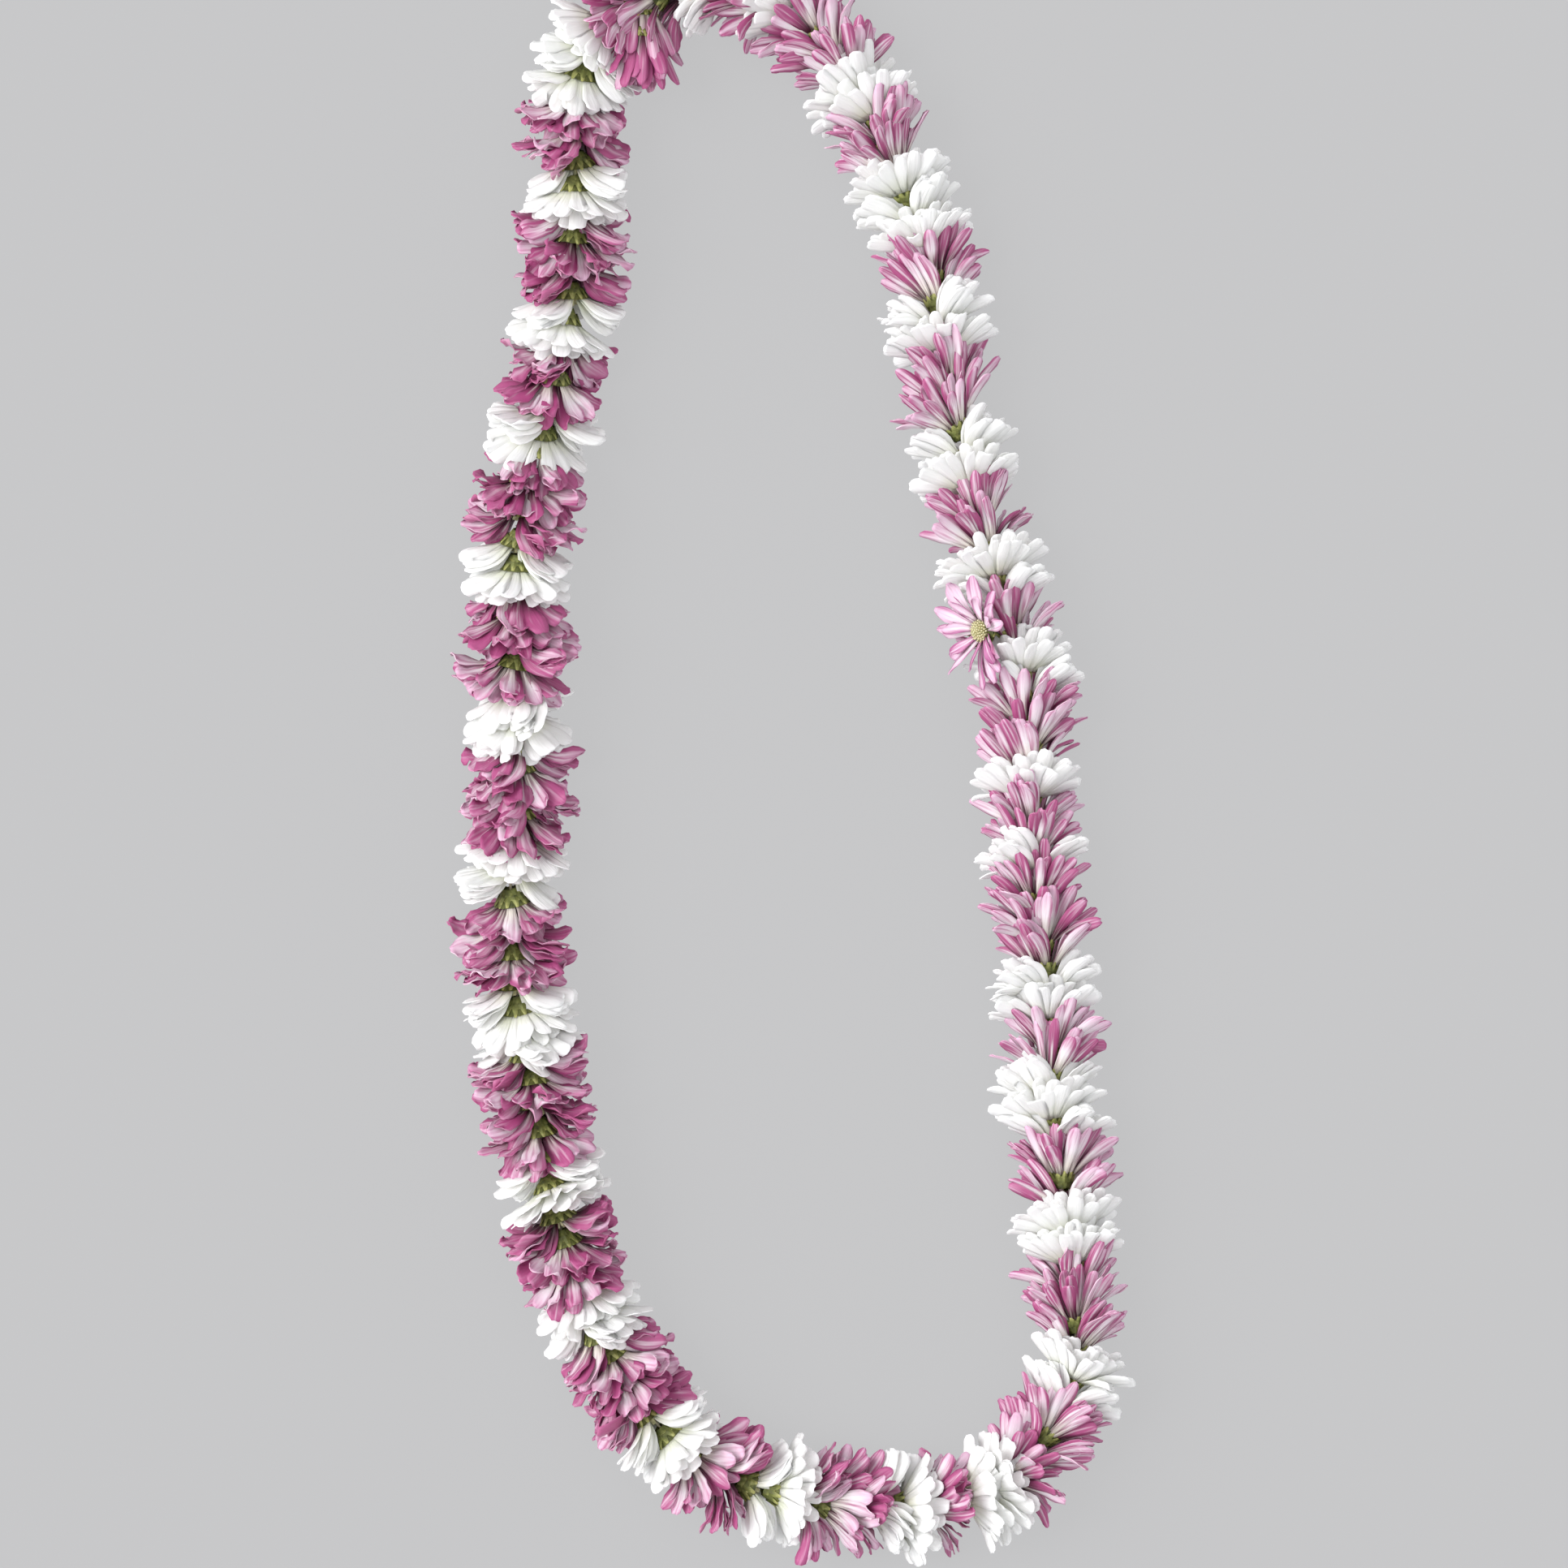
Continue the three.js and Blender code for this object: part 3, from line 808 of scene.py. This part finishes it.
# %% [markdown]
# In front each head has its disc, a low dome of tiny yellow-green florets in the spiral that all
# daisies share: each floret stands a golden angle round from the last, so a loop with one angle
# places them all. A floret is a short cone with five sides. The next head hides every disc but the
# turned head's, and that one gets more florets.

# %% Discs
GOLDEN_ANGLE = math.pi * (3 - math.sqrt(5))
DISC_RADIUS = 3.4 * MM
DOME = 1.2 * MM
HIDDEN_FLORETS = 12
SHOWN_FLORETS = 60
FLORET_SIDES = 5
FLORET_TIP = 0.6  # share of its width that is left at the tip
FLORET_LENGTH = 3  # times its half width at the foot
RIM_LEAN = 0.5  # radians outwards, of the florets at the disc's rim
SPECK_SPACING = 10 / 9 * MM  # far coarser than real pollen so that it shows


def add_disc(bm, head):
    """Adds one head's dome of florets."""
    florets = SHOWN_FLORETS if head["turned"] else HIDDEN_FLORETS
    size = DISC_RADIUS / math.sqrt(florets)
    made = []
    for i in range(florets):
        out = DISC_RADIUS * math.sqrt((i + 0.5) / florets)
        angle = i * GOLDEN_ANGLE
        tube = bmesh.ops.create_cone(bm, cap_ends=True, segments=FLORET_SIDES, radius1=size,
                                     radius2=size * FLORET_TIP, depth=size * FLORET_LENGTH)["verts"]
        lean = Matrix.Rotation(RIM_LEAN * out / DISC_RADIUS, 4, (-math.sin(angle), math.cos(angle), 0))
        height = DISC_AT + DOME * (1 - (out / DISC_RADIUS) ** 2)
        lift = Matrix.Translation((out * math.cos(angle), out * math.sin(angle), height))
        bmesh.ops.transform(bm, matrix=lift @ lean, verts=tube)
        made += tube
    bmesh.ops.transform(bm, matrix=head["matrix"], verts=made)


def floret_material():
    """Florets dusted with pollen: hardly any shine, and speckled in pale yellow-greens."""
    material, shader = new_material("disc florets, soft pollen tubes", 0.75, Subsurface_Weight=0.05,
                                    Subsurface_Scale=1 * MM)
    specks = grain(material, shader, SPECK_SPACING, detail=2.0, strength=0.4, depth=0.1 * MM)
    colour = add_node(material, "ShaderNodeValToRGB", inputs={"Fac": specks}, stops=[
        (0.3, "#bdb88a"), (0.6, "#dcd7ae"), (0.85, "#efebce")]).outputs["Color"]
    link(material, colour, shader.inputs["Base Color"])
    return material


floret_yellow = floret_material()
for kind in ("purple", "white"):
    bm = bmesh.new()
    for head in all_heads:
        if head["kind"] == kind:
            add_disc(bm, head)
    piece = add_piece(f"{kind}_discs", bm, [floret_yellow])
    print(piece.name, len(piece.data.polygons), "faces")

# %% [markdown]
# The string is a thin twisted cotton cord. It shows only at the knot, where its two cut ends lean out
# between the heads. A curve with a three-lobed section that turns as it goes gives the look of three
# plies, and its evaluated mesh is kept, because a mesh is what the other pieces are too.

# %% Twisted cord
PLIES = 3
SECTION_SIDES = 9
SECTION_ROUND = 0.88  # of the string's radius, and the plies stand out by the rest
LAY = 9 * MM  # length of string in which the plies go once round, longer than real so that it stays light
CORD_STEP = 1.0 * MM
FIBRE_SPACING = 0.4 * MM  # coarser than real cotton fibres so that it shows


def ply_section():
    """A closed three-lobed outline for the cord."""
    outline = bpy.data.curves.new("ply section", "CURVE")
    spline = outline.splines.new("POLY")
    spline.points.add(SECTION_SIDES - 1)
    spline.use_cyclic_u = True
    for i, point in enumerate(spline.points):
        angle = math.tau * i / SECTION_SIDES
        radius = STRING_RADIUS * (SECTION_ROUND + (1 - SECTION_ROUND) * math.cos(PLIES * angle))
        point.co = (radius * math.cos(angle), radius * math.sin(angle), 0, 1)
    return bpy.data.objects.new("ply section", outline)


def add_cord(curve, points, closed):
    """Adds a run of cord through the points, turned evenly along its length."""
    spline = curve.splines.new("POLY")
    spline.points.add(len(points) - 1)
    spline.use_cyclic_u = closed
    walked_here = 0.0
    for i, point in enumerate(points):
        if i:
            walked_here += (point - points[i - 1]).length
        spline.points[i].co = (*point, 1)
        spline.points[i].tilt = math.tau * walked_here / LAY


def cotton_material():
    """Spun and twisted cotton: quite matt, with a faint fuzz of loose fibres that catches the light."""
    material, shader = new_material("twisted cotton cord", 0.9, Sheen_Weight=0.2)
    fibres = grain(material, shader, FIBRE_SPACING, detail=3.0, strength=0.5, depth=0.1 * MM)
    colour = add_node(material, "ShaderNodeValToRGB", inputs={"Fac": fibres}, stops=[
        (0.3, "#c9bf9f"), (0.7, "#ece5cf")]).outputs["Color"]
    link(material, colour, shader.inputs["Base Color"])
    return material


# %% [markdown]
# The ends are tied in a small overhand knot. Closed on itself that is a trefoil, which a few sines
# and cosines give, so it is worked out rather than drawn by hand. The two cut ends are short bows.

# %% Knot and tails
KNOT_RADIUS = 1.7 * MM
KNOT_STEPS = 36
KNOT_DEPTH = 1.6  # how far its loops pass over and under each other
TAIL_ROOT, TAIL_TIP = (1.0 * MM, 0.0), (10.0 * MM, 4.6 * MM)  # distance from the string, and along it
TAIL_TURNS = (0.16, 0.36)  # where each tail stands, in turns round the string from its left side
TAIL_STEPS = 12
TAIL_BOW = 0.5 * MM


def beside_string(along, radius, turn):
    """A point at a distance from the string, at a turn round it."""
    place, ahead = on_route(along)
    left = Vector((-ahead.y, ahead.x, 0))
    angle = math.tau * turn
    return place + (left * math.cos(angle) + Vector((0, 0, math.sin(angle)))) * radius


def knot_points():
    """A small overhand knot, a trefoil, round the string's two ends."""
    scale = (KNOT_RADIUS - STRING_RADIUS) / 3
    place, ahead = on_route(0)
    turn = Vector((0, 0, 1)).rotation_difference(ahead).to_matrix()
    points = []
    for i in range(KNOT_STEPS):
        t = math.tau * i / KNOT_STEPS
        across = math.sin(t) + 2 * math.sin(2 * t)
        upward = math.cos(t) - 2 * math.cos(2 * t)
        loop = Vector((across, upward, -KNOT_DEPTH * math.sin(3 * t)))
        points.append(place + turn @ loop * scale)
    return points


def tail_points(turn):
    """A cut end of the string, bowed a little by its own twist."""
    points = []
    for i in range(TAIL_STEPS + 1):
        share = i / TAIL_STEPS
        radius, along = [mixed(ends, share) for ends in zip(TAIL_ROOT, TAIL_TIP)]
        point = beside_string(along, radius, turn)
        points.append(point + Vector((0, 0, TAIL_BOW * math.sin(math.pi * share))))
    return points


# %% [markdown]
# The string, its knot and its tails are runs of one curve, so that one section is swept along all of
# them. The curve only helps, and is removed when its mesh has been taken.

# %% String
cord_curve = bpy.data.curves.new("string", "CURVE")
cord_curve.dimensions = "3D"
cord_curve.bevel_mode = "OBJECT"
section = ply_section()
cord_curve.bevel_object = section
cord_curve.use_fill_caps = True
steps = round(route_length * MM / CORD_STEP)
add_cord(cord_curve, [on_route(i * route_length * MM / steps)[0] for i in range(steps)], True)
add_cord(cord_curve, knot_points(), True)
for turn in TAIL_TURNS:
    add_cord(cord_curve, tail_points(turn), False)
cord_object = bpy.data.objects.new("string curve", cord_curve)
for helper in (section, cord_object):
    bpy.context.scene.collection.objects.link(helper)
evaluated = cord_object.evaluated_get(bpy.context.evaluated_depsgraph_get())
cord_bm = bmesh.new()
cord_bm.from_mesh(evaluated.to_mesh())
for helper in (cord_object, section):
    bpy.data.objects.remove(helper)

string_piece = add_piece("twisted_string", cord_bm, [cotton_material()])
for face in string_piece.data.polygons:
    face.use_smooth = True
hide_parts("string")
print(string_piece.name, len(string_piece.data.polygons), "faces")

# %% [markdown]
# The floor is a plain pale surface that glows a little itself, as a light table does, which keeps the
# lei's shadow faint. The light is a broad soft source from the left with an even grey sky all round.

# %% Floor and light
FLOOR_SIZE = 6
FLOOR_GLOW = 0.883
SUN_FROM = Vector((-1.0, 0.25, 0.85))
SUN_STRENGTH = 2.6
SUN_SPREAD = 45 * DEG  # so wide that its shadows have no edge
SKY_STRENGTH = 1.07

floor_bm = bmesh.new()
bmesh.ops.create_grid(floor_bm, x_segments=1, y_segments=1, size=FLOOR_SIZE / 2)
floor_mesh = bpy.data.meshes.new("floor")
floor_bm.to_mesh(floor_mesh)
floor_bm.free()
floor_paper, floor_shader = new_material("pale matte paper, softly lit from below", 0.9)
floor_shader.inputs["Base Color"].default_value = linear("#3c3c3d")
floor_shader.inputs["Specular IOR Level"].default_value = 0
floor_shader.inputs["Emission Color"].default_value = linear("#c8c8c9")
floor_shader.inputs["Emission Strength"].default_value = FLOOR_GLOW
floor_mesh.materials.append(floor_paper)
floor = bpy.data.objects.new("floor", floor_mesh)
bpy.context.scene.collection.objects.link(floor)

sun_data = bpy.data.lights.new("soft light from the left", "SUN")
sun_data.angle = SUN_SPREAD
sun_data.energy = SUN_STRENGTH
sun = bpy.data.objects.new("soft_light", sun_data)
sun.rotation_euler = (-SUN_FROM).to_track_quat("-Z", "Y").to_euler()
bpy.context.scene.collection.objects.link(sun)

sky = bpy.data.worlds.new("even grey sky")
sky.use_nodes = True
sky.node_tree.nodes["Background"].inputs["Color"].default_value = linear("#f4f5f7")
sky.node_tree.nodes["Background"].inputs["Strength"].default_value = SKY_STRENGTH
bpy.context.scene.world = sky
bpy.context.scene.view_settings.view_transform = "Standard"
print("floor", FLOOR_SIZE, "m wide,", len(bpy.data.materials), "materials in the file")
